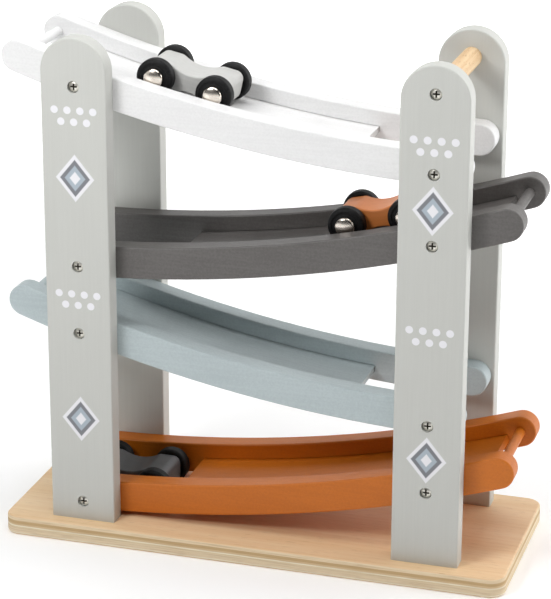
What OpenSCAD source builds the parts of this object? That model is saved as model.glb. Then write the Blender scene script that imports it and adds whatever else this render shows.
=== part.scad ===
// Click clack track: four curved wooden ramps zig-zag down between two pairs of uprights,
// and small four-wheeled cars roll along each ramp and drop through a gap at its low end.
// Frame: +Z up, origin on the table at the middle of the base board, +X along the ramps,
// -Y towards the front. Ramp 1 is the top one. Millimetres.

/* [Base board] */
// Thickness of the base board
base_t = 12; // [8:0.5:20]
// Base board showing past the uprights at each end
base_margin_x = 29.5; // [10:0.5:60]
// Base board showing past the uprights at the front and back
base_margin_y = 9.5; // [3:0.5:30]
// Radius of the base board's corners seen from above
base_corner_r = 10; // [4:0.5:25]
// Rounding of the base board's edges
base_edge_r = 1.5; // [0.5:0.1:3]

/* [Uprights] */
// Width of an upright
upright_w = 40.5; // [28:0.5:60]
// Thickness of an upright
upright_t = 12; // [9:0.5:20]
// Distance between the left and right uprights, centre to centre
upright_span = 215; // [190:1:280]
// Upright standing above the highest ramp screw
upright_head = 29; // [24:0.5:50]
// Rounding of the uprights' edges
upright_edge_r = 1; // [0.5:0.1:3]

/* [Ramps] */
// Height from one ramp to the next
ramp_pitch = 76; // [62:1:110]
// Gap between the base board and the lowest ramp
ramp_clear = 1.5; // [1:0.5:10]
// Radius of the curve that a ramp follows, at mid height of its rails
rail_r = 872; // [700:1:1400]
// Height of a rail
rail_h = 19.5; // [15:0.5:26]
// Thickness of a rail
rail_t = 13; // [11:0.5:18]
// Rounding of the rails' edges
rail_edge_r = 1; // [0.5:0.1:3]
// High end of a ramp past the middle of its uprights, to the dowel
high_overhang = 40; // [30:0.5:60]
// Low end of a ramp past the middle of its uprights
low_overhang = 8.5; // [6:0.5:20]
// Distance past the low end at which the curve would run level
arc_lead = 18.5; // [5:0.5:60]
// Thickness of the deck that the cars roll on
deck_t = 4; // [3:0.1:5]
// Deck lying below the top of the rails
deck_drop = 9.8; // [7:0.1:10.5]
// Depth of the groove that holds the deck in each rail
groove_depth = 3; // [2:0.1:4]
// Gap between the high end of the deck and the dowel
deck_dowel_gap = 5; // [2:0.5:12]
// Spare length of the drop gap beyond the length of a car
drop_spare = 1; // [0:0.5:10]

/* [Dowels and cross bar] */
// Diameter of the dowel at the high end of a ramp
dowel_d = 6; // [4:0.5:8]
// Wood left behind a dowel's socket
socket_wall = 5; // [2:0.5:8]
// Diameter of the cross bar
cross_bar_d = 12; // [9:0.5:18]
// Middle of the cross bar below the top of the uprights
cross_bar_drop = 16.5; // [12:0.5:22]

/* [Screws] */
// Diameter of every screw's shank
screw_d = 3.5; // [2.5:0.1:4.5]
// Diameter of every screw's head
head_d = 6.4; // [5.5:0.1:9]
// Height of a domed screw head
head_h = 2.2; // [1.6:0.1:3]
// Height of a domed head's straight rim
head_rim = 1.4; // [0.4:0.1:1.4]
// Depth of a screw head below the surface
head_sink = 1; // [0.1:0.1:1.5]
// Room round a domed head in its seat
head_room = 0.4; // [0.2:0.1:1]
// Length of the cross recess in a head
recess_l = 4.1; // [2:0.1:4.5]
// Width of the recess's arms
recess_w = 1.1; // [0.5:0.1:1.2]
// Depth of the recess
recess_depth = 1.1; // [0.5:0.1:1.3]
// Length of a screw's point
tip_l = 2.8; // [1.5:0.1:4]
// Wood left between a rail screw's tip and the deck's groove
screw_wall = 2; // [1:0.5:4]
// Length of a cross bar screw inside the bar
bar_bite = 18; // [10:1:30]
// Length of a base screw inside an upright's foot
foot_bite = 18; // [10:1:30]
// Distance between the two base screws of an upright
foot_pitch = 20; // [12:1:26]

/* [Cars] */
// Distance between a car's axles
wheel_base = 37; // [30:0.5:46]
// Diameter of a wheel
wheel_d = 22.5; // [20:0.5:28]
// Width of a wheel
wheel_w = 8.5; // [6:0.5:12]
// Rounding of a wheel's tread shoulders
tyre_r = 2.2; // [0.5:0.1:3]
// Depth of the ring sunk in each side of a wheel
ring_depth = 0.5; // [0.2:0.1:1]
// Width of the flat left between the ring and the cap
hub_margin = 0.8; // [0.3:0.1:1]
// Width of the flat left between the ring and the tread's shoulder
shoulder_margin = 0.4; // [0.2:0.1:0.8]
// Width of a car's wooden body
car_body_w = 25.4; // [18:0.2:32]
// Height of a car's wooden body at its axles
car_body_h = 17.4; // [12:0.2:19]
// Body standing past each axle
body_overhang = 7.5; // [6:0.5:9]
// Radius of the body's end corners
body_end_r = 5; // [2:0.5:6]
// Depth of the hollow waist above and below the body
waist_depth = 3.5; // [1:0.1:4.5]
// Middle of the body to where its shoulders begin to fall to the waist
shoulder_x = 14; // [12:0.5:18]
// Radius of the shoulders
shoulder_r = 6; // [3:0.5:8]
// Diameter of an axle
axle_d = 3; // [2:0.1:4]
// Diameter of the domed cap on an axle's end
cap_d = 12; // [9:0.1:14]
// Height of a cap
cap_h = 2.8; // [2.2:0.1:4]
// Height of a cap's straight rim
cap_rim = 0.6; // [0.3:0.1:1]

/* [Clearances] */
// Room between a car and each rail
side_play = 2.4; // [1:0.1:6]
// Gap left to the rail that a car keeps to
lane_gap = 0.4; // [0.2:0.1:0.9]
// Gap between a wheel's tread and what it rolls on
tread_gap = 0.2; // [0.1:0.05:0.3]
// Gap on each side of a wheel along its axle
wheel_play = 0.3; // [0.2:0.05:0.6]
// Radial clearance of a wheel on its axle
axle_clear = 0.05; // [0.02:0.01:0.1]
// Radial clearance of glued, pressed and screwed fits
press_clear = 0.02; // [0.01:0.01:0.05]
// Clearance of a deck in its groove
groove_clear = 0.3; // [0.05:0.05:0.5]
// Radial clearance of a screw in the board it passes through
screw_clear = 0.25; // [0.1:0.05:0.5]

/* [Places of the cars] */
// First car, from the middle towards the low end of ramp 1
car_1_place = -50; // [-90:1:20]
// Second car, from the middle towards the low end of ramp 2
car_2_place = -66.5; // [-90:0.5:20]
// Third car, from its nose to the end of ramp 4's deck
car_3_clear = 7.8; // [2:0.1:12]

/* [Hidden] */
$fn = 64;
arc_fn = 1440;
ramp_count = 4;
eps = 0.01;

// Car sizes
car_l = wheel_base + wheel_d;
track = car_body_w + 2 * wheel_play + wheel_w;
cap_y = car_body_w / 2 + 2 * wheel_play + wheel_w;
car_w = 2 * (cap_y + cap_h);
cap_hole = cap_h - cap_rim;
axle_bore_d = axle_d + 2 * press_clear;
lane_shift = side_play - lane_gap;

// Widths across the toy, from the cars outwards
channel_w = car_w + 2 * side_play;
rail_in_y = channel_w / 2;
rail_mid_y = rail_in_y + rail_t / 2;
rail_out_y = rail_in_y + rail_t;
upright_mid_y = rail_out_y + upright_t / 2;
upright_out_y = rail_out_y + upright_t;
base_w = 2 * (upright_out_y + base_margin_y);

// Lengths along the toy
upright_x = upright_span / 2;
base_l = upright_span + upright_w + 2 * base_margin_x;
high_x = upright_x + high_overhang;
low_x = upright_x + low_overhang;
arc_x = low_x + arc_lead;
deck_low_x = low_x - car_l - drop_spare;
deck_high_x = high_x - dowel_d / 2 - deck_dowel_gap;

// Radii and angles of a ramp about the centre of its curve, counted from straight down
deck_r = rail_r - rail_h / 2 + deck_drop;
deck_w = channel_w + 2 * (groove_depth - groove_clear);
high_angle = asin((arc_x + high_x) / rail_r);
low_angle = asin((arc_x - low_x) / rail_r);
deck_high_angle = asin((arc_x + deck_high_x) / deck_r);
deck_low_angle = asin((arc_x - deck_low_x) / deck_r);
groove_end_angle = groove_clear / deck_r * 180 / PI;
socket_d = dowel_d + 2 * press_clear;

// Screws
cbore_d = head_d + 2 * head_room;
cbore_depth = head_h + head_sink;
pilot_d = screw_d + 2 * press_clear;
screw_hole_d = screw_d + 2 * screw_clear;
rail_bite = rail_t - groove_depth - screw_wall;
rail_screw_l = upright_t - cbore_depth + rail_bite;
bar_screw_l = upright_t - cbore_depth + bar_bite;
foot_screw_l = base_t - head_sink + foot_bite;
cone_h = (head_d - screw_d) / 2;

// Path of a car's middle on a ramp: its two axles lie on the circle that the wheels' centres follow
axle_path_r = deck_r - tread_gap - wheel_d / 2;
car_path_r = sqrt(pow(axle_path_r, 2) - pow(wheel_base / 2, 2));

// +1 where the low end of a ramp is on the right, -1 where it is on the left
function side(i) = i % 2 == 1 ? 1 : -1;
// Height of the centre of a ramp's curve
function arc_z(i) = base_t + ramp_clear + (ramp_count - i) * ramp_pitch + rail_h / 2 + rail_r;
// Height of the middle of a rail at a place counted towards the ramp's low end, from its curve's centre
function rail_drop(place) = sqrt(pow(rail_r, 2) - pow(arc_x - place, 2));
// Height of the screw that holds ramp i to the uprights on side s
function screw_z(i, s) = arc_z(i) - rail_drop(side(i) * s * upright_x);

upright_top = screw_z(1, -1) + upright_head;
upright_r = upright_w / 2;
bar_z = upright_top - cross_bar_drop;

SIDE_X = [-1, 1];
SIDE_Y = [-1, 1];
NAME_X = ["left", "right"];
NAME_Y = ["front", "rear"];
RAMPS = [1 : ramp_count];
CARS = [1 : 3];
RAMP_PARTS = ["front_rail", "rear_rail", "deck", "dowel"];
CAR_PARTS = [
    "body", "front_axle", "rear_axle", "front_caps", "rear_caps",
    "front_left_wheel", "front_right_wheel", "rear_left_wheel", "rear_right_wheel"
];

NODES = concat(
    ["base_board"],
    [for (y = [0, 1]) for (x = [0, 1]) str("upright_", NAME_Y[y], "_", NAME_X[x])],
    [for (i = RAMPS) for (part = RAMP_PARTS) str("ramp_", i, "_", part)],
    ["cross_bar", "rail_screws", "cross_bar_screws", "base_screws"],
    [for (c = CARS) for (part = CAR_PARTS) str("car_", c, "_", part)]
);
node = "all";

PLYWOOD = [0.88, 0.74, 0.55];
PALE_GREY = [0.78, 0.78, 0.76];
BEECH = [0.84, 0.66, 0.45];
STEEL = [0.72, 0.72, 0.70];
CHROME = [0.86, 0.84, 0.80];
BLACK = [0.06, 0.06, 0.07];
RAMP_COLOURS = [[0.95, 0.95, 0.95], [0.41, 0.40, 0.39], [0.69, 0.73, 0.74], [0.73, 0.41, 0.17]];
CAR_COLOURS = [[0.83, 0.83, 0.82], [0.80, 0.47, 0.22], [0.36, 0.36, 0.37]];

// Rectangle with rounded corners, centred
module rounded_rect(w, h, r) {
    square([w - 2 * r, h], center = true);
    square([w, h - 2 * r], center = true);
    for (x = SIDE_X) for (y = SIDE_Y)
        translate([x * (w / 2 - r), y * (h / 2 - r)]) circle(r);
}

// Disc of diameter w and thickness t with rounded edges, which gives a board of width w a full round end
module rounded_disc(w, t, r) {
    rotate_extrude()
        intersection() {
            rounded_rect(w, t, r);
            translate([0, -t / 2]) square([w / 2, t]);
        }
}

// Board lying flat with its underside on z = 0, rounded corners in plan and rounded edges
module rounded_board(l, w, t, corner_r, edge_r) {
    translate([0, 0, t / 2]) {
        rotate([90, 0, 90])
            linear_extrude(l - 2 * corner_r, center = true) rounded_rect(w, t, edge_r);
        for (s = SIDE_X)
            rotate([0, 0, s * 90])
                translate([0, -l / 2 + corner_r, 0])
                    rotate([0, 90, 0])
                        linear_extrude(w - 2 * corner_r, center = true)
                            intersection() {
                                rounded_rect(t, 2 * corner_r, edge_r);
                                translate([-t / 2, -corner_r]) square([t, corner_r]);
                            }
        for (x = SIDE_X) for (y = SIDE_Y)
            translate([x * (l / 2 - corner_r), y * (w / 2 - corner_r), 0])
                rotate([0, 0, x > 0 ? (y > 0 ? 0 : 270) : (y > 0 ? 90 : 180)])
                    rotate_extrude(angle = 90)
                        intersection() {
                            rounded_rect(2 * corner_r, t, edge_r);
                            translate([0, -t / 2]) square([corner_r, t]);
                        }
    }
}

// Places of the two base screws under each upright
module at_feet() {
    for (x = SIDE_X) for (y = SIDE_Y) for (k = SIDE_X)
        translate([x * upright_x + k * foot_pitch / 2, y * upright_mid_y, 0]) children();
}

// Places of the rail screws on the uprights of one side, with +Z pointing out of the upright's face
module at_rail_screws(x, y) {
    for (i = RAMPS)
        translate([x * upright_x, y * upright_out_y, screw_z(i, x)]) rotate([-90 * y, 0, 0]) children();
}

// Place of the cross bar's screw on a right-hand upright, with +Z pointing out of its face
module at_bar_screw(y) {
    translate([upright_x, y * upright_out_y, bar_z]) rotate([-90 * y, 0, 0]) children();
}

// Through hole with a flat seat for a domed head, below a face on z = 0
module domed_screw_hole() {
    translate([0, 0, -upright_t - eps]) cylinder(d = screw_hole_d, h = upright_t + 2 * eps);
    translate([0, 0, -cbore_depth]) cylinder(d = cbore_d, h = cbore_depth + eps);
}

module base_board() {
    color(PLYWOOD)
        difference() {
            rounded_board(base_l, base_w, base_t, base_corner_r, base_edge_r);
            at_feet() {
                translate([0, 0, -eps]) cylinder(d = screw_hole_d, h = base_t + 2 * eps);
                translate([0, 0, -eps]) cylinder(d = head_d + 2 * screw_clear, h = head_sink + eps);
                translate([0, 0, head_sink])
                    cylinder(d1 = head_d + 2 * screw_clear, d2 = screw_d + 2 * screw_clear, h = cone_h);
            }
        }
}

module upright(x, y) {
    color(PALE_GREY)
        difference() {
            translate([x * upright_x, y * upright_mid_y, 0]) {
                translate([0, 0, base_t])
                    linear_extrude(upright_top - upright_r - base_t)
                        rounded_rect(upright_w, upright_t, upright_edge_r);
                translate([0, 0, upright_top - upright_r])
                    rotate([90, 0, 0]) rounded_disc(upright_w, upright_t, upright_edge_r);
            }
            at_rail_screws(x, y) domed_screw_hole();
            if (x > 0) at_bar_screw(y) domed_screw_hole();
            at_feet()
                translate([0, 0, base_t - eps]) cylinder(d = pilot_d, h = foot_bite + press_clear + eps);
        }
}

// Puts a ramp drawn about its curve's centre, with its low end towards +X, in place
module on_ramp(i) {
    if (side(i) > 0) translate([arc_x, 0, arc_z(i)]) children();
    else mirror([1, 0, 0]) translate([arc_x, 0, arc_z(i)]) children();
}

// Turns a section drawn at its radius about Y, from one angle short of straight down to another
module ramp_sweep(from, to) {
    rotate([90, 0, 0])
        rotate([0, 0, -90 - to])
            rotate_extrude(angle = to - from, $fn = arc_fn) children();
}

// Place on a rail's middle line at an angle short of straight down, +X along the radius and +Z to the front
module at_rail_angle(a) {
    rotate([90, 0, 0]) rotate([0, 0, -90 - a]) translate([rail_r, 0, 0]) children();
}

// One rail: a curved board with full round ends, screw holes outside, and the groove and dowel socket inside.
// The ends are set in by a hair, so that their faces and the board's never lie in one another.
module ramp_rail(i, y) {
    color(RAMP_COLOURS[i - 1])
        on_ramp(i)
            difference() {
                translate([0, y * rail_mid_y, 0]) {
                    ramp_sweep(low_angle, high_angle)
                        translate([rail_r, 0]) rounded_rect(rail_h, rail_t, rail_edge_r);
                    for (a = [low_angle, high_angle])
                        at_rail_angle(a)
                            rounded_disc(rail_h - 2 * eps, rail_t - 2 * eps, rail_edge_r - eps);
                }
                ramp_sweep(deck_low_angle - groove_end_angle, deck_high_angle + groove_end_angle)
                    translate([deck_r - groove_clear, -deck_w / 2 - groove_clear])
                        square([deck_t + 2 * groove_clear, deck_w + 2 * groove_clear]);
                at_rail_angle(high_angle)
                    cylinder(d = socket_d, h = 2 * (rail_out_y - socket_wall), center = true);
                for (x = [-upright_x, upright_x])
                    translate([x - arc_x, y * (rail_out_y - rail_bite), -rail_drop(x)])
                        rotate([-90 * y, 0, 0])
                            translate([0, 0, -press_clear])
                                cylinder(d = pilot_d, h = rail_bite + press_clear + eps);
            }
}

// Thin curved deck between the rails, short of the low end so that a car drops through
module ramp_deck(i) {
    color(RAMP_COLOURS[i - 1])
        on_ramp(i)
            ramp_sweep(deck_low_angle, deck_high_angle)
                translate([deck_r, -deck_w / 2]) square([deck_t, deck_w]);
}

// Dowel that ties the two rails together at the high end
module ramp_dowel(i) {
    color(RAMP_COLOURS[i - 1])
        on_ramp(i)
            at_rail_angle(high_angle)
                cylinder(d = dowel_d, h = 2 * (rail_out_y - socket_wall - press_clear), center = true);
}

module cross_bar() {
    color(BEECH)
        difference() {
            translate([upright_x, 0, bar_z])
                rotate([90, 0, 0]) cylinder(d = cross_bar_d, h = 2 * rail_out_y, center = true);
            for (y = SIDE_Y)
                at_bar_screw(y)
                    translate([0, 0, -upright_t - bar_bite - press_clear])
                        cylinder(d = pilot_d, h = bar_bite + press_clear + eps);
        }
}

// Shank and point of a screw, from z = 0 down
module shank(l) {
    translate([0, 0, tip_l - l]) cylinder(d = screw_d, h = l - tip_l);
    translate([0, 0, -l]) cylinder(d1 = screw_d / 4, d2 = screw_d, h = tip_l);
}

// Cross-shaped driver recess below a head's top on z = 0
module cross_recess() {
    for (a = [0, 90])
        rotate([0, 0, a]) cube([recess_l, recess_w, 2 * recess_depth], center = true);
}

// Domed-head screw with the head's seat on z = 0
module domed_screw(l) {
    rise = head_h - head_rim;
    dome_r = (pow(head_d / 2, 2) + pow(rise, 2)) / (2 * rise);
    shank(l);
    difference() {
        rotate_extrude()
            intersection() {
                square([head_d / 2, head_h]);
                translate([0, head_h - dome_r]) circle(dome_r, $fn = 128);
            }
        translate([0, 0, head_h]) cross_recess();
    }
}

// Flat-head screw pointing up, with the head's flat face on z = 0
module flat_screw(l) {
    mirror([0, 0, 1]) {
        translate([0, 0, -cone_h]) shank(l - cone_h);
        difference() {
            translate([0, 0, -cone_h]) cylinder(d1 = screw_d, d2 = head_d, h = cone_h);
            cross_recess();
        }
    }
}

module rail_screws() {
    color(STEEL)
        for (x = SIDE_X) for (y = SIDE_Y)
            at_rail_screws(x, y) translate([0, 0, -cbore_depth]) domed_screw(rail_screw_l);
}

module cross_bar_screws() {
    color(STEEL)
        for (y = SIDE_Y)
            at_bar_screw(y) translate([0, 0, -cbore_depth]) domed_screw(bar_screw_l);
}

module base_screws() {
    color(STEEL) at_feet() translate([0, 0, head_sink]) flat_screw(foot_screw_l);
}

// Puts a car drawn about the middle of its axles, nose towards +X, in place
module at_car(c) {
    if (c == 1) on_deck(1, car_1_place, -lane_shift) children();
    if (c == 2) rotate([0, 0, 180]) on_deck(2, car_2_place, 0) children();
    if (c == 3)
        rotate([0, 0, 180])
            translate([deck_low_x + car_3_clear + car_l / 2, -lane_shift, base_t + tread_gap + wheel_d / 2])
                children();
}

// Stands a car on the deck of ramp i, at a place counted from the middle towards the low end
module on_deck(i, place, y) {
    a = asin((arc_x - place) / car_path_r);
    translate([place, y, arc_z(i) - car_path_r * cos(a)]) rotate([0, a, 0]) children();
}

// Outline of a body: round end corners, and a hollow above and below that runs smoothly into round shoulders
module dog_bone() {
    shoulder_y = car_body_h / 2 - shoulder_r;
    rise = shoulder_r - waist_depth;
    waist_r = (pow(shoulder_x, 2) + pow(rise, 2) - pow(shoulder_r, 2)) / (2 * waist_depth);
    waist_y = car_body_h / 2 - waist_depth + waist_r;
    join_y = shoulder_y + (waist_y - shoulder_y) * shoulder_r / (waist_r + shoulder_r);
    difference() {
        rounded_rect(wheel_base + 2 * body_overhang, car_body_h, body_end_r);
        for (s = [0, 1])
            mirror([0, s])
                difference() {
                    union() {
                        translate([0, waist_y]) circle(waist_r, $fn = 256);
                        translate([-shoulder_x, join_y]) square([2 * shoulder_x, car_body_h / 2]);
                    }
                    for (x = SIDE_X)
                        translate([x * shoulder_x, shoulder_y]) circle(shoulder_r);
                }
    }
}

// Dog-bone body with a bore for each axle
module car_body(c) {
    color(CAR_COLOURS[c - 1])
        at_car(c)
            rotate([90, 0, 0])
                difference() {
                    linear_extrude(car_body_w, center = true) dog_bone();
                    for (s = SIDE_X)
                        translate([s * wheel_base / 2, 0, 0])
                            cylinder(d = axle_bore_d, h = car_body_w + eps, center = true);
                }
}

// Steel axle pressed through the body, end of the car s = 1 in front and -1 behind
module car_axle(c, s) {
    color(STEEL)
        at_car(c)
            translate([s * wheel_base / 2, 0, 0])
                rotate([90, 0, 0])
                    cylinder(d = axle_d, h = 2 * (cap_y + cap_hole - press_clear), center = true);
}

// The two domed caps pressed on an axle's ends
module car_caps(c, s) {
    rise = cap_h - cap_rim;
    dome_r = (pow(cap_d / 2, 2) + pow(rise, 2)) / (2 * rise);
    color(CHROME)
        at_car(c)
            for (y = SIDE_Y)
                translate([s * wheel_base / 2, y * cap_y, 0])
                    rotate([-90 * y, 0, 0])
                        difference() {
                            rotate_extrude()
                                intersection() {
                                    square([cap_d / 2, cap_h]);
                                    translate([0, cap_h - dome_r]) circle(dome_r, $fn = 128);
                                }
                            translate([0, 0, -eps]) cylinder(d = axle_bore_d, h = cap_hole + eps);
                        }
}

// Rubber wheel that turns on its axle, with a shallow ring sunk in each side round the cap
module car_wheel(c, s, y) {
    bore_r = axle_d / 2 + axle_clear;
    ring_in = cap_d / 2 + hub_margin;
    ring_out = wheel_d / 2 - tyre_r - shoulder_margin;
    color(BLACK)
        at_car(c)
            translate([s * wheel_base / 2, y * track / 2, 0])
                rotate([90, 0, 0])
                    rotate_extrude()
                        difference() {
                            intersection() {
                                rounded_rect(wheel_d, wheel_w, tyre_r);
                                translate([bore_r, -wheel_w / 2]) square([wheel_d / 2, wheel_w]);
                            }
                            for (k = SIDE_Y)
                                translate([(ring_in + ring_out) / 2, k * wheel_w / 2])
                                    square([ring_out - ring_in, 2 * ring_depth], center = true);
                        }
}

function shown(name) = node == "all" || node == name;

if (shown("base_board")) base_board();
for (y = [0, 1]) for (x = [0, 1])
    if (shown(str("upright_", NAME_Y[y], "_", NAME_X[x]))) upright(SIDE_X[x], SIDE_Y[y]);
for (i = RAMPS) {
    if (shown(str("ramp_", i, "_front_rail"))) ramp_rail(i, -1);
    if (shown(str("ramp_", i, "_rear_rail"))) ramp_rail(i, 1);
    if (shown(str("ramp_", i, "_deck"))) ramp_deck(i);
    if (shown(str("ramp_", i, "_dowel"))) ramp_dowel(i);
}
if (shown("cross_bar")) cross_bar();
if (shown("rail_screws")) rail_screws();
if (shown("cross_bar_screws")) cross_bar_screws();
if (shown("base_screws")) base_screws();
for (c = CARS) {
    if (shown(str("car_", c, "_body"))) car_body(c);
    if (shown(str("car_", c, "_front_axle"))) car_axle(c, 1);
    if (shown(str("car_", c, "_rear_axle"))) car_axle(c, -1);
    if (shown(str("car_", c, "_front_caps"))) car_caps(c, 1);
    if (shown(str("car_", c, "_rear_caps"))) car_caps(c, -1);
    if (shown(str("car_", c, "_front_left_wheel"))) car_wheel(c, 1, 1);
    if (shown(str("car_", c, "_front_right_wheel"))) car_wheel(c, 1, -1);
    if (shown(str("car_", c, "_rear_left_wheel"))) car_wheel(c, -1, 1);
    if (shown(str("car_", c, "_rear_right_wheel"))) car_wheel(c, -1, -1);
}
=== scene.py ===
# Click clack track toy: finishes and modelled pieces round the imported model. Metres.
import math
import bmesh
import bpy
from mathutils import Matrix, Vector


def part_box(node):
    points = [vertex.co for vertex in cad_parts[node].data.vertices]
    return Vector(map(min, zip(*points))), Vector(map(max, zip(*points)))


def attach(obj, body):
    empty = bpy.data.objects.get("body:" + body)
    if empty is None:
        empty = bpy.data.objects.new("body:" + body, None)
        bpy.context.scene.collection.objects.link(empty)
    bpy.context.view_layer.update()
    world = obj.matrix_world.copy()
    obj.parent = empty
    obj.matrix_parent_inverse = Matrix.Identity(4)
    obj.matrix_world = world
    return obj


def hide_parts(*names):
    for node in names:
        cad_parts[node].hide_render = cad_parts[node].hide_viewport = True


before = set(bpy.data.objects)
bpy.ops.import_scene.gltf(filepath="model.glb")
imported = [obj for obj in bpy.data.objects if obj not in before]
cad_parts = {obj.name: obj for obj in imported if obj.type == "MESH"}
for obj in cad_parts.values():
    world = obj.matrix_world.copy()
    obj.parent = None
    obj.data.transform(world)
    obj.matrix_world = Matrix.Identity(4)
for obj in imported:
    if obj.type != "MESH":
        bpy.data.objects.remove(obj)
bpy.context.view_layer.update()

# Base board
# A rounded rectangle of plywood, sanded and clear lacquered, that everything else stands on.
# The face veneer has straight grain along the toy, and the edges show the plies, with a painted highlight
# along their top.


class Field:
    """A shader socket that adds, multiplies and compares like a number"""

    def __init__(self, finish, socket):
        self.finish = finish
        self.socket = socket

    def math(self, operation, *values):
        inputs = dict(enumerate(values))
        return self.finish.node("ShaderNodeMath", {"operation": operation}, inputs)

    def __add__(self, other):
        return self.math("ADD", self, other)

    __radd__ = __add__

    def __sub__(self, other):
        return self.math("SUBTRACT", self, other)

    def __rsub__(self, other):
        return self.math("SUBTRACT", other, self)

    def __mul__(self, other):
        return self.math("MULTIPLY", self, other)

    def __truediv__(self, other):
        return self.math("DIVIDE", self, other)

    def __abs__(self):
        return self.math("ABSOLUTE", self)

    def above(self, limit):
        return self.math("GREATER_THAN", self, limit)

    def below(self, limit):
        return self.math("LESS_THAN", self, limit)

    def smallest(self, other):
        return self.math("MINIMUM", self, other)

    def largest(self, other):
        return self.math("MAXIMUM", self, other)

    def root(self):
        return self.math("SQRT", self)

    def cycle(self):
        """What is left after the last whole number"""
        return self.math("FRACT", self)

    def fade(self, low, high):
        """0 below low, 1 above high and a smooth step between"""
        settings = {"interpolation_type": "SMOOTHSTEP"}
        inputs = {"Value": self, "From Min": low, "From Max": high}
        return self.finish.node("ShaderNodeMapRange", settings, inputs)


class Finish:
    """A procedural material: one principled shader and the nodes that vary it"""

    def __init__(self, name, **look):
        self.material = bpy.data.materials.new(name)
        self.material.use_nodes = True
        self.tree = self.material.node_tree
        self.shader = self.tree.nodes["Principled BSDF"]
        for word, value in look.items():
            self.feed(word.replace("_", " ").title().replace("Ior", "IOR"), value)
        self.place = self.node("ShaderNodeTexCoord", {}, {}, "Object")

    def node(self, kind, settings, inputs, output=0):
        node = self.tree.nodes.new(kind)
        for word, value in settings.items():
            if word == "stops":
                self.set_stops(node.color_ramp, value)
            else:
                setattr(node, word, value)
        for key, value in inputs.items():
            if isinstance(value, Field):
                self.tree.links.new(value.socket, node.inputs[key])
            else:
                node.inputs[key].default_value = value
        return Field(self, node.outputs[output])

    @staticmethod
    def set_stops(ramp, stops):
        while len(ramp.elements) < len(stops):
            ramp.elements.new(1.0)
        for element, (position, colour) in zip(ramp.elements, stops):
            element.position = position
            element.color = colour

    def feed(self, word, value):
        if isinstance(value, Field):
            self.tree.links.new(value.socket, self.shader.inputs[word])
        else:
            self.shader.inputs[word].default_value = value

    def axes(self, vector=None):
        vector = vector or self.place
        return [self.node("ShaderNodeSeparateXYZ", {}, {0: vector}, axis) for axis in "XYZ"]

    def noise(self, size, detail=2.0, roughness=0.5, distortion=0.0):
        """Noise whose features measure size along X, Y and Z"""
        stretch = [1.0 / length for length in size]
        point = self.node("ShaderNodeVectorMath", {"operation": "MULTIPLY"}, {0: self.place, 1: stretch})
        inputs = {"Vector": point, "Scale": 1.0, "Detail": detail, "Roughness": roughness}
        inputs["Distortion"] = distortion
        return self.node("ShaderNodeTexNoise", {}, inputs, "Fac")

    def mix(self, factor, first, second):
        inputs = {0: factor, 6: first, 7: second}
        return self.node("ShaderNodeMix", {"data_type": "RGBA"}, inputs, 2)

    def ramp(self, value, stops):
        return self.node("ShaderNodeValToRGB", {"stops": stops}, {0: value})

    def bump(self, height, depth):
        inputs = {"Height": height, "Strength": 1.0, "Distance": depth}
        self.feed("Normal", self.node("ShaderNodeBump", {}, inputs))


def srgb(red, green, blue):
    """Linear colour with alpha from 0 to 255 screen values"""
    screen = [value / 255.0 for value in (red, green, blue)]
    linear = [v / 12.92 if v <= 0.04045 else ((v + 0.055) / 1.055) ** 2.4 for v in screen]
    return (*linear, 1.0)


def dress(finish, *nodes):
    """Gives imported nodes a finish"""
    for name in nodes:
        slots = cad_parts[name].data.materials
        slots.clear()
        slots.append(finish.material)


def plywood():
    """Lacquered plywood: veneer with its grain along X on the faces, plies on the edges and a painted
    highlight along the top of each edge
    """
    veneer_pale = srgb(246, 218, 180)
    veneer_warm = srgb(236, 199, 152)
    pore_dark = srgb(176, 134, 88)
    fibre_dark = srgb(184, 150, 106)
    glue_and_rim_highlight = srgb(250, 240, 218)
    streak_size = (0.110, 0.0022, 0.05)
    band_size = (0.260, 0.018, 0.05)
    pore_size = (0.009, 0.0005, 0.05)
    wander_size = (0.060, 0.060, 0.02)
    fibre_size = (0.030, 0.030, 0.0007)
    pore_strength = 0.35
    fibre_strength = 0.40
    ply_wander = 0.05
    smoothest = 0.50
    grain_depth = 0.00006
    base_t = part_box("base_board")[1].z
    ply = Finish("lacquered_plywood", specular_ior_level=0.3)
    height = ply.axes()[2]
    streaks = ply.noise(streak_size, 4.0, 0.6)
    bands = ply.noise(band_size, 2.0, 0.5, 0.4)
    pores = ply.noise(pore_size, 1.0).fade(0.62, 0.74)
    face = ply.mix((streaks * 0.6 + bands * 0.7).fade(0.35, 0.95), veneer_pale, veneer_warm)
    face = ply.mix(pores * pore_strength, face, pore_dark)
    # The band at the very top of the edge is a painted highlight of the rounded top edge; the thin light
    # lines lower down are glue lines between plies.
    plies_up = [
        (0.00, srgb(210, 184, 146)), (0.07, srgb(218, 194, 158)), (0.09, glue_and_rim_highlight), (0.12, glue_and_rim_highlight),
        (0.14, srgb(236, 217, 185)), (0.46, srgb(232, 211, 177)), (0.48, glue_and_rim_highlight), (0.52, glue_and_rim_highlight),
        (0.54, srgb(224, 198, 156)), (0.62, srgb(220, 192, 150)), (0.64, srgb(206, 174, 128)),
        (0.77, srgb(206, 174, 128)), (0.79, srgb(238, 216, 180)), (0.94, srgb(240, 218, 184)),
        (0.96, glue_and_rim_highlight), (1.00, glue_and_rim_highlight)
    ]
    wander = ply.noise(wander_size, 2.0) - 0.5
    plies = ply.ramp(height / base_t + wander * ply_wander, plies_up)
    fibre = ply.noise(fibre_size, 4.0, 0.7)
    edge = ply.mix(fibre.fade(0.44, 0.66) * fibre_strength, plies, fibre_dark)
    upward = ply.axes(ply.node("ShaderNodeNewGeometry", {}, {}, "Normal"))[2]
    on_edge = 1.0 - abs(upward).fade(0.45, 0.75)
    ply.feed("Base Color", ply.mix(on_edge, face, edge))
    ply.feed("Roughness", smoothest + streaks * 0.12 + on_edge * 0.12)
    ply.bump(streaks * 0.4 + fibre * on_edge * 0.6 - pores * 0.5, grain_depth)
    return ply


dress(plywood(), "base_board")

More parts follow.
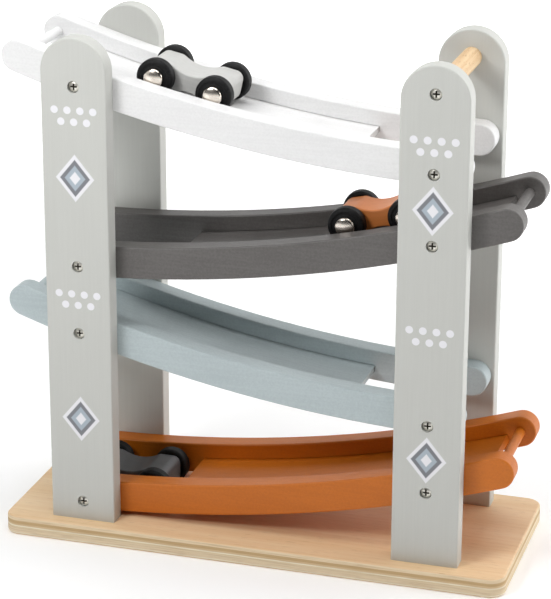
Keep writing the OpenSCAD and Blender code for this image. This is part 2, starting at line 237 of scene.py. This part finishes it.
# Uprights
# Four boards with half-round tops, painted pale grey, screwed to the base from below.
# The paint lets a little of the vertical grain through. The front pair has a small print on its face.


def upright_paint(name, prints):
    """Pale grey paint over upright grain, with what prints returns laid over it"""
    grey = srgb(204, 205, 200)
    deeper = srgb(200, 201, 196)
    grain_size = (0.0011, 0.0011, 0.045)
    cloud_size = (0.03, 0.03, 0.09)
    smoothest = 0.50
    grain_depth = 0.00002
    paint = Finish(name)
    grain = paint.noise(grain_size, 3.0, 0.6)
    cloud = paint.noise(cloud_size, 2.0)
    shade = (grain * 0.7 + cloud * 0.5).fade(0.3, 0.9)
    colour = paint.mix(shade, grey, deeper)
    for mask, ink in prints(paint):
        colour = paint.mix(mask, colour, ink)
    paint.feed("Base Color", colour)
    paint.feed("Roughness", smoothest + grain * 0.08)
    paint.bump(grain, grain_depth)
    return paint


def no_prints(paint):
    """The rear pair is plain"""
    return []


def front_prints(paint):
    """Nested diamonds and rows of dots on the outer face, in white, dark grey and light blue"""
    white = srgb(240, 240, 244)
    slate = srgb(128, 130, 136)
    sky = srgb(176, 188, 198)
    print_depth = 0.0002
    diamond_half_w = 0.0120
    diamond_half_h = 0.0145
    diamond_heights = (0.0785, 0.2305)
    diamond_rings = ((1.0, white), (0.78, slate), (0.54, sky), (0.28, white))
    ring_edge = 0.04
    dot_heights = (0.155, 0.268)
    dot_pitch = 0.008
    dot_r = 0.0023
    dot_edge = 0.00015
    row_gap = 0.0069
    low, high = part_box("upright_front_left")
    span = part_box("upright_front_right")[0].x - low.x
    x, y, z = paint.axes()
    on_face = y.below(low.y + print_depth)
    left_x = (low.x + high.x) / 2
    across = x - left_x - x.above(0.0) * span
    prints = []
    nearest = abs(z - diamond_heights[0]).smallest(abs(z - diamond_heights[1]))
    reach = abs(across) / diamond_half_w + nearest / diamond_half_h
    for size, ink in diamond_rings:
        prints.append((on_face * (1.0 - reach.fade(size - ring_edge, size + ring_edge)), ink))
    for height in dot_heights:
        for rise, shift, pitches in ((-row_gap / 2, 0.5, 1.5), (row_gap / 2, 0.0, 2.0)):
            off_x = ((across / dot_pitch + shift).cycle() - 0.5) * dot_pitch
            off_z = z - (height + rise)
            distance = (off_x * off_x + off_z * off_z).root()
            dots = 1.0 - distance.fade(dot_r - dot_edge, dot_r + dot_edge)
            in_row = abs(across).below(dot_pitch * pitches)
            prints.append((on_face * in_row * dots, white))
    return prints


dress(upright_paint("pale_grey_paint", no_prints), "upright_rear_left", "upright_rear_right")
dress(upright_paint("printed_grey_paint", front_prints), "upright_front_left", "upright_front_right")

# Ramps
# Two curved rails with a thin deck let into grooves between them and a dowel across the high end,
# all sprayed in one satin colour: white, dark grey, blue grey and orange from the top down.


def satin_paint(name, colour, deeper, roughness):
    """Sprayed paint over grain along the ramp, with a fine speckle"""
    grain_size = (0.060, 0.0016, 0.0016)
    speckle_size = (0.0013, 0.0013, 0.0013)
    cloud_size = (0.05, 0.02, 0.02)
    grain_depth = 0.00004
    paint = Finish(name)
    grain = paint.noise(grain_size, 3.0, 0.55)
    speckle = paint.noise(speckle_size, 2.0)
    cloud = paint.noise(cloud_size, 2.0)
    shade = grain * 0.5 + speckle * 0.6 + cloud * 0.4
    paint.feed("Base Color", paint.mix(shade.fade(0.55, 0.95), colour, deeper))
    paint.feed("Roughness", roughness + grain * 0.10)
    paint.bump(grain + speckle * 0.5, grain_depth)
    return paint


ramp_paints = (
    satin_paint("white_paint", srgb(239, 239, 239), srgb(232, 232, 232), 0.40),
    satin_paint("dark_grey_paint", srgb(103, 100, 98), srgb(92, 89, 87), 0.42),
    satin_paint("blue_grey_paint", srgb(190, 202, 204), srgb(180, 192, 195), 0.42),
    satin_paint("orange_paint", srgb(207, 112, 6), srgb(198, 105, 4), 0.42),
)
for number, paint in enumerate(ramp_paints, 1):
    dress(paint, *(f"ramp_{number}_{piece}" for piece in ("front_rail", "rear_rail", "deck", "dowel")))

# Cross bar
# A turned beech rod, oiled, held between the tops of the right-hand uprights by a screw at each end.


def beech():
    """Beech with its grain along Y and the short dark flecks of its rays"""
    early_wood = srgb(234, 205, 164)
    late_wood = srgb(219, 183, 138)
    ray = srgb(172, 128, 86)
    grain_size = (0.0014, 0.070, 0.0014)
    fleck_size = (0.0006, 0.004, 0.0006)
    smoothest = 0.50
    grain_depth = 0.00005
    bar = Finish("oiled_beech")
    grain = bar.noise(grain_size, 3.0, 0.6)
    flecks = bar.noise(fleck_size, 1.0).fade(0.62, 0.72)
    colour = bar.mix(grain.fade(0.3, 0.7), early_wood, late_wood)
    bar.feed("Base Color", bar.mix(flecks * 0.5, colour, ray))
    bar.feed("Roughness", smoothest + grain * 0.15)
    bar.bump(grain - flecks * 0.5, grain_depth)
    return bar


dress(beech(), "cross_bar")

# Screws
# Nickel plated wood screws with a domed cross head, sunk in a flat-bottomed hole.
# The cross recess and the seat round the head are painted dark as shade, as they see little light.


def dimmed(colour, share):
    """A share of a colour's light"""
    return tuple(share * value for value in colour[:3]) + (1.0,)


def nickel(name, colour, roughness, heads=None):
    """Nickel plate with fine scuffs, and painted shade below the top of the heads of a node of screws that
    lie along Y
    """
    recess_shade = srgb(46, 43, 38)
    dome_depth = 0.0007
    recess_depth = 0.0010
    scuff_size = (0.0006, 0.0006, 0.0006)
    scuff_dulling = 0.9
    metal = Finish(name, metallic=1.0)
    scuff = metal.noise(scuff_size, 3.0, 0.6)
    plate = metal.mix(scuff.fade(0.3, 0.8), colour, dimmed(colour, scuff_dulling))
    # Painted shade: where the surface lies deeper than the top of the heads, the nickel turns dark.
    if heads:
        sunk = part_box(heads)[1].y - abs(metal.axes()[1])
        plate = metal.mix(sunk.fade(dome_depth, recess_depth), plate, recess_shade)
    metal.feed("Base Color", plate)
    metal.feed("Roughness", roughness + scuff * 0.12)
    return metal


screw_nickel = srgb(236, 233, 224)
screw_roughness = 0.30
dress(nickel("plain_screw", screw_nickel, screw_roughness), "base_screws")
sunk_nickel = nickel("nickel_screw", screw_nickel, screw_roughness, "rail_screws")
dress(sunk_nickel, "rail_screws", "cross_bar_screws")

# Car bodies
# A short block of wood, sawn to a dog-bone in side view, sanded round at its edges and painted.
# Each body has its own colour: light grey on the top ramp, orange on the second, dark grey on the base.


def arc(centre, radius, start, end, steps):
    """Points on a circle in the X, Z plane, between two angles in degrees"""
    turns = [math.radians(start + (end - start) * step / steps) for step in range(steps + 1)]
    return [(centre[0] + radius * math.cos(turn), centre[1] + radius * math.sin(turn)) for turn in turns]


def dog_bone(half_l, half_h):
    """Closed outline of a body seen from the side: round corners, and hollows tangent to round shoulders"""
    corner_r = 0.0050
    shoulder_r = 0.0060
    shoulder_x = 0.0140
    waist_depth = 0.0035
    rise = shoulder_r - waist_depth
    waist_r = (shoulder_x ** 2 + rise ** 2 - shoulder_r ** 2) / (2 * waist_depth)
    waist_z = half_h - waist_depth + waist_r
    lean = math.degrees(math.atan2(waist_z - (half_h - shoulder_r), shoulder_x))
    quarter = arc((half_l - corner_r, half_h - corner_r), corner_r, 0, 90, 10)
    quarter += arc((shoulder_x, half_h - shoulder_r), shoulder_r, 90, 180 - lean, 8)
    quarter += arc((0, waist_z), waist_r, -lean, -90, 12)[1:]
    top = quarter + [(-px, pz) for px, pz in reversed(quarter[:-1])]
    return top + [(px, -pz) for px, pz in reversed(top)]


def solid(name, mesh):
    """A smooth-shaded object from a mesh under construction"""
    data = bpy.data.meshes.new(name)
    mesh.to_mesh(data)
    mesh.free()
    data.shade_smooth()
    piece = bpy.data.objects.new(name, data)
    bpy.context.scene.collection.objects.link(piece)
    return piece


def board(name, outline, half_t, edge_r):
    """A closed board of an outline in X and Z, half_t to each side in Y, with rounded edges"""
    steps = 6
    count = len(outline)
    points = [Vector((px, 0.0, pz)) for px, pz in outline]
    inward = []
    for k in range(count):
        along = points[(k + 1) % count] - points[k - 1]
        inward.append(Vector((-along.z, 0.0, along.x)).normalized())
    mesh = bmesh.new()
    rings = []
    for side in (-1, 1):
        for step in range(steps + 1):
            turn = math.radians(90.0 * (step if side < 0 else steps - step) / steps)
            inset = edge_r * (1 - math.sin(turn))
            y = side * (half_t - edge_r * (1 - math.cos(turn)))
            level = Vector((0.0, y, 0.0))
            rings.append([mesh.verts.new(p + n * inset + level) for p, n in zip(points, inward)])
    for first, second in zip(rings, rings[1:]):
        for k in range(count):
            mesh.faces.new((first[k - 1], first[k], second[k], second[k - 1]))
    mesh.faces.new(reversed(rings[0]))
    mesh.faces.new(rings[-1])
    bmesh.ops.recalc_face_normals(mesh, faces=mesh.faces)
    return solid(name, mesh)


def flatten_shading(piece):
    """Keeps large flat faces flat beside rounded edges"""
    weighted = piece.modifiers.new("even_faces", "WEIGHTED_NORMAL")
    weighted.weight = 100


def middle(node):
    """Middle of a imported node's box"""
    low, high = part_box(node)
    return (low + high) / 2


def car_place(number):
    """Frame of a car: origin between its axles, X towards its nose, Y to its left"""
    front = (middle(f"car_{number}_front_left_wheel") + middle(f"car_{number}_front_right_wheel")) / 2
    rear = (middle(f"car_{number}_rear_left_wheel") + middle(f"car_{number}_rear_right_wheel")) / 2
    nose = (front - rear).normalized()
    left = (middle(f"car_{number}_front_left_wheel") - front).normalized()
    turn = Matrix((nose, left, nose.cross(left))).transposed().to_4x4()
    return Matrix.Translation((front + rear) / 2) @ turn


def body_paint(name, colour):
    """Satin paint over grain along the car"""
    grain_size = (0.030, 0.0012, 0.0012)
    grain_shade = 0.92
    smoothest = 0.40
    grain_depth = 0.00004
    paint = Finish(name)
    grain = paint.noise(grain_size, 3.0, 0.55)
    paint.feed("Base Color", paint.mix(grain.fade(0.35, 0.8), colour, dimmed(colour, grain_shade)))
    paint.feed("Roughness", smoothest + grain * 0.10)
    paint.bump(grain, grain_depth)
    return paint


level_low, level_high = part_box("car_3_body")
body_size = level_high - level_low
body_edge_r = 0.0010
car_paints = (
    ("light_grey_car_paint", srgb(200, 200, 197)),
    ("orange_car_paint", srgb(212, 126, 62)),
    ("dark_grey_car_paint", srgb(98, 98, 100)),
)
for number, (slot, colour) in enumerate(car_paints, 1):
    outline = dog_bone(body_size.x / 2, body_size.z / 2)
    piece = board(f"car_{number}_dog_bone", outline, body_size.y / 2, body_edge_r)
    flatten_shading(piece)
    piece.data.materials.append(body_paint(slot, colour).material)
    piece.matrix_world = car_place(number)
    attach(piece, f"car_{number}")
    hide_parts(f"car_{number}_body")

# Wheels
# Moulded black rubber tyres with round shoulders and a shallow ring in each side.
# Each turns on its axle between the body and a domed cap.


def lathe(name, profiles, steps):
    """Solids turned about Y from closed profiles of radius and depth"""
    same_point = 0.000001
    mesh = bmesh.new()
    for profile in profiles:
        rings = []
        for step in range(steps):
            turn = 2 * math.pi * step / steps
            rings.append([mesh.verts.new((r * math.cos(turn), y, r * math.sin(turn))) for r, y in profile])
        for k in range(steps):
            first = rings[k - 1]
            second = rings[k]
            for j in range(len(profile)):
                mesh.faces.new((first[j - 1], first[j], second[j], second[j - 1]))
    bmesh.ops.remove_doubles(mesh, verts=mesh.verts, dist=same_point)
    bmesh.ops.recalc_face_normals(mesh, faces=mesh.faces)
    return solid(name, mesh)


def tyre_profile(radius, half_w):
    """Section of a tyre, from the bore out over one side, across the tread and back"""
    bore_r = 0.00155
    shoulder_r = 0.0022
    soften = 0.00025
    hub_r = 0.0068
    ring_r = 0.0084
    ring_depth = 0.0005
    crown = 0.00006
    side = [
        (bore_r, half_w - soften), (bore_r + soften, half_w),
        (hub_r - soften, half_w), (hub_r, half_w - soften), (hub_r + soften, half_w - ring_depth),
        (ring_r - soften, half_w - ring_depth), (ring_r, half_w - soften), (ring_r + soften, half_w)
    ]
    centre = (radius - shoulder_r - crown, half_w - shoulder_r)
    side += arc(centre, shoulder_r, 90, 0, 10)
    side.append((radius, 0.0))
    return side + [(r, -y) for r, y in reversed(side[:-1])]


def rubber():
    """Black rubber with the fine mottle of a moulding"""
    black = srgb(5, 5, 6)
    bloom = srgb(26, 26, 27)
    mottle_size = (0.0013, 0.0013, 0.0013)
    smoothest = 0.46
    mottle_depth = 0.00016
    tyre = Finish("black_rubber", specular_ior_level=0.26)
    mottle = tyre.noise(mottle_size, 3.0, 0.65)
    tyre.feed("Base Color", tyre.mix(mottle.fade(0.4, 0.7), black, bloom))
    tyre.feed("Roughness", smoothest + mottle * 0.18)
    tyre.bump(mottle, mottle_depth)
    return tyre


wheel_low, wheel_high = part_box("car_3_front_left_wheel")
wheel_size = wheel_high - wheel_low
tyre_steps = 96
black_rubber = rubber()
for number in (1, 2, 3):
    for corner in ("front_left", "front_right", "rear_left", "rear_right"):
        node = f"car_{number}_{corner}_wheel"
        section = tyre_profile(wheel_size.x / 2, wheel_size.y / 2)
        tyre = lathe(f"car_{number}_{corner}_tyre", [section], tyre_steps)
        flatten_shading(tyre)
        tyre.data.materials.append(black_rubber.material)
        tyre.matrix_world = Matrix.Translation(middle(node))
        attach(tyre, node)
        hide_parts(node)

# Axles and caps
# A steel rod is pressed through each end of a body, and a cap of bright sheet closes each end of the rod.
# The caps are low domes with a rolled edge.


def cap_profile(radius, height):
    """Section of a cap, from the middle of its dome over the rolled edge to its seat at zero depth"""
    dome_r = 0.016
    edge_r = 0.0016
    dome_y = height - dome_r
    edge_x = radius - edge_r
    edge_y = dome_y + math.sqrt((dome_r - edge_r) ** 2 - edge_x ** 2)
    lean = math.degrees(math.atan2(edge_y - dome_y, edge_x))
    section = arc((0.0, dome_y), dome_r, 90, lean, 8)
    section += arc((edge_x, edge_y), edge_r, lean, 0, 8)[1:]
    return section + [(radius, 0.0), (0.0, 0.0)]


cap_h = 0.0028
cap_steps = 64
bright_cap = nickel("bright_cap", srgb(240, 231, 220), 0.16)
plain_steel = nickel("axle_steel", srgb(190, 190, 188), 0.28)
for number in (1, 2, 3):
    dress(plain_steel, f"car_{number}_front_axle", f"car_{number}_rear_axle")
    for end in ("front", "rear"):
        node = f"car_{number}_{end}_caps"
        low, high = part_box(node)
        seat = (high.y - low.y) / 2 - cap_h
        section = cap_profile((high.x - low.x) / 2, cap_h)
        pair = [[(r, side * (seat + y)) for r, y in section] for side in (-1, 1)]
        caps = lathe(f"car_{number}_{end}_domes", pair, cap_steps)
        flatten_shading(caps)
        caps.data.materials.append(bright_cap.material)
        caps.matrix_world = Matrix.Translation(middle(node))
        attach(caps, f"car_{number}")
        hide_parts(node)

# Floor, light and camera
# A white floor that glows, faintly near the toy and brightly away from it, a white backdrop, a large soft
# light overhead, a near one at the front left and weaker ones on the right. The camera stands where the
# photograph was taken from.
white = srgb(246, 246, 246)
matt = 0.9
floor_half = 14.0
near_glow = (0.15, 0.15, 0.15, 1.0)
far_glow = (0.90, 0.90, 0.90, 1.0)
floor_mesh = bmesh.new()
bmesh.ops.create_grid(floor_mesh, x_segments=1, y_segments=1, size=floor_half)
floor = solid("floor", floor_mesh)
pale = Finish("pale_floor", roughness=matt, base_color=white, emission_strength=1.0)
floor_x, floor_y = pale.axes()[:2]
distant = (floor_x * floor_x + floor_y * floor_y).root().fade(0.5, 1.1)
away = floor_y.fade(0.2, 1.2).largest(distant)
# Painted light: the floor glows, faintly near the toy and strongly away from it.
pale.feed("Emission Color", pale.mix(away, near_glow, far_glow))
floor.data.materials.append(pale.material)

wall_y = 2.4
wall_half_w = 3.0
wall_h = 2.0
wall_corners = ((-wall_half_w, 0.0), (wall_half_w, 0.0), (wall_half_w, wall_h), (-wall_half_w, wall_h))
wall_mesh = bmesh.new()
wall_mesh.faces.new([wall_mesh.verts.new((x, wall_y, z)) for x, z in wall_corners])
wall = solid("backdrop", wall_mesh)
glow = Finish("white_backdrop", roughness=matt, base_color=white, emission_strength=0.40)
glow.feed("Emission Color", srgb(255, 255, 255))
wall.data.materials.append(glow.material)

room_light = 0.03
room = bpy.data.worlds.new("white_room")
room.use_nodes = True
surroundings = room.node_tree.nodes["Background"].inputs
surroundings["Strength"].default_value = room_light
surroundings["Color"].default_value = (1.0, 1.0, 1.0, 1.0)
bpy.context.scene.world = room
bpy.context.scene.view_settings.view_transform = "Standard"


def soft_light(name, place, aim, size, watts):
    """A square soft box at a place, turned towards aim"""
    lamp = bpy.data.lights.new(name, "AREA")
    lamp.shape = "SQUARE"
    lamp.size = size
    lamp.energy = watts
    box = bpy.data.objects.new(name, lamp)
    bpy.context.scene.collection.objects.link(box)
    direction = Vector(aim) - Vector(place)
    box.rotation_euler = direction.to_track_quat("-Z", "Y").to_euler()
    box.location = place


toy_middle = (0.0, 0.0, 0.15)
toy_upper = (0.0, 0.0, 0.18)
soft_light("overhead", (0.0, 0.0, 1.4), toy_middle, 1.3, 14.5)
soft_light("key", (-0.36, -0.68, 0.76), toy_upper, 0.28, 3.7)
soft_light("right", (1.20, 0.30, 0.50), toy_middle, 0.8, 7.0)
soft_light("back", (0.70, 0.90, 0.80), toy_middle, 0.6, 1.8)

azimuth = math.radians(16.79)
elevation = math.radians(19.48)
roll = math.radians(0.21)
distance = 1.46657
target = Vector((-0.00025, 0.0, 0.1491))
focal_px = 2427.0
picture_h_px = 599
sensor_mm = 36.0
level = Vector((math.sin(azimuth), -math.cos(azimuth), 0.0))
back = level * math.cos(elevation) + Vector((0.0, 0.0, math.sin(elevation)))
right = Vector((math.cos(azimuth), math.sin(azimuth), 0.0))
up = back.cross(right)
tilted_right = right * math.cos(roll) + up * math.sin(roll)
tilted_up = up * math.cos(roll) - right * math.sin(roll)
lens = bpy.data.cameras.new("camera")
lens.sensor_fit = "AUTO"
lens.sensor_width = sensor_mm
lens.lens = focal_px * sensor_mm / picture_h_px
camera = bpy.data.objects.new("camera", lens)
bpy.context.scene.collection.objects.link(camera)
turn = Matrix((tilted_right, tilted_up, back)).transposed().to_4x4()
camera.matrix_world = Matrix.Translation(target + back * distance) @ turn
bpy.context.scene.camera = camera
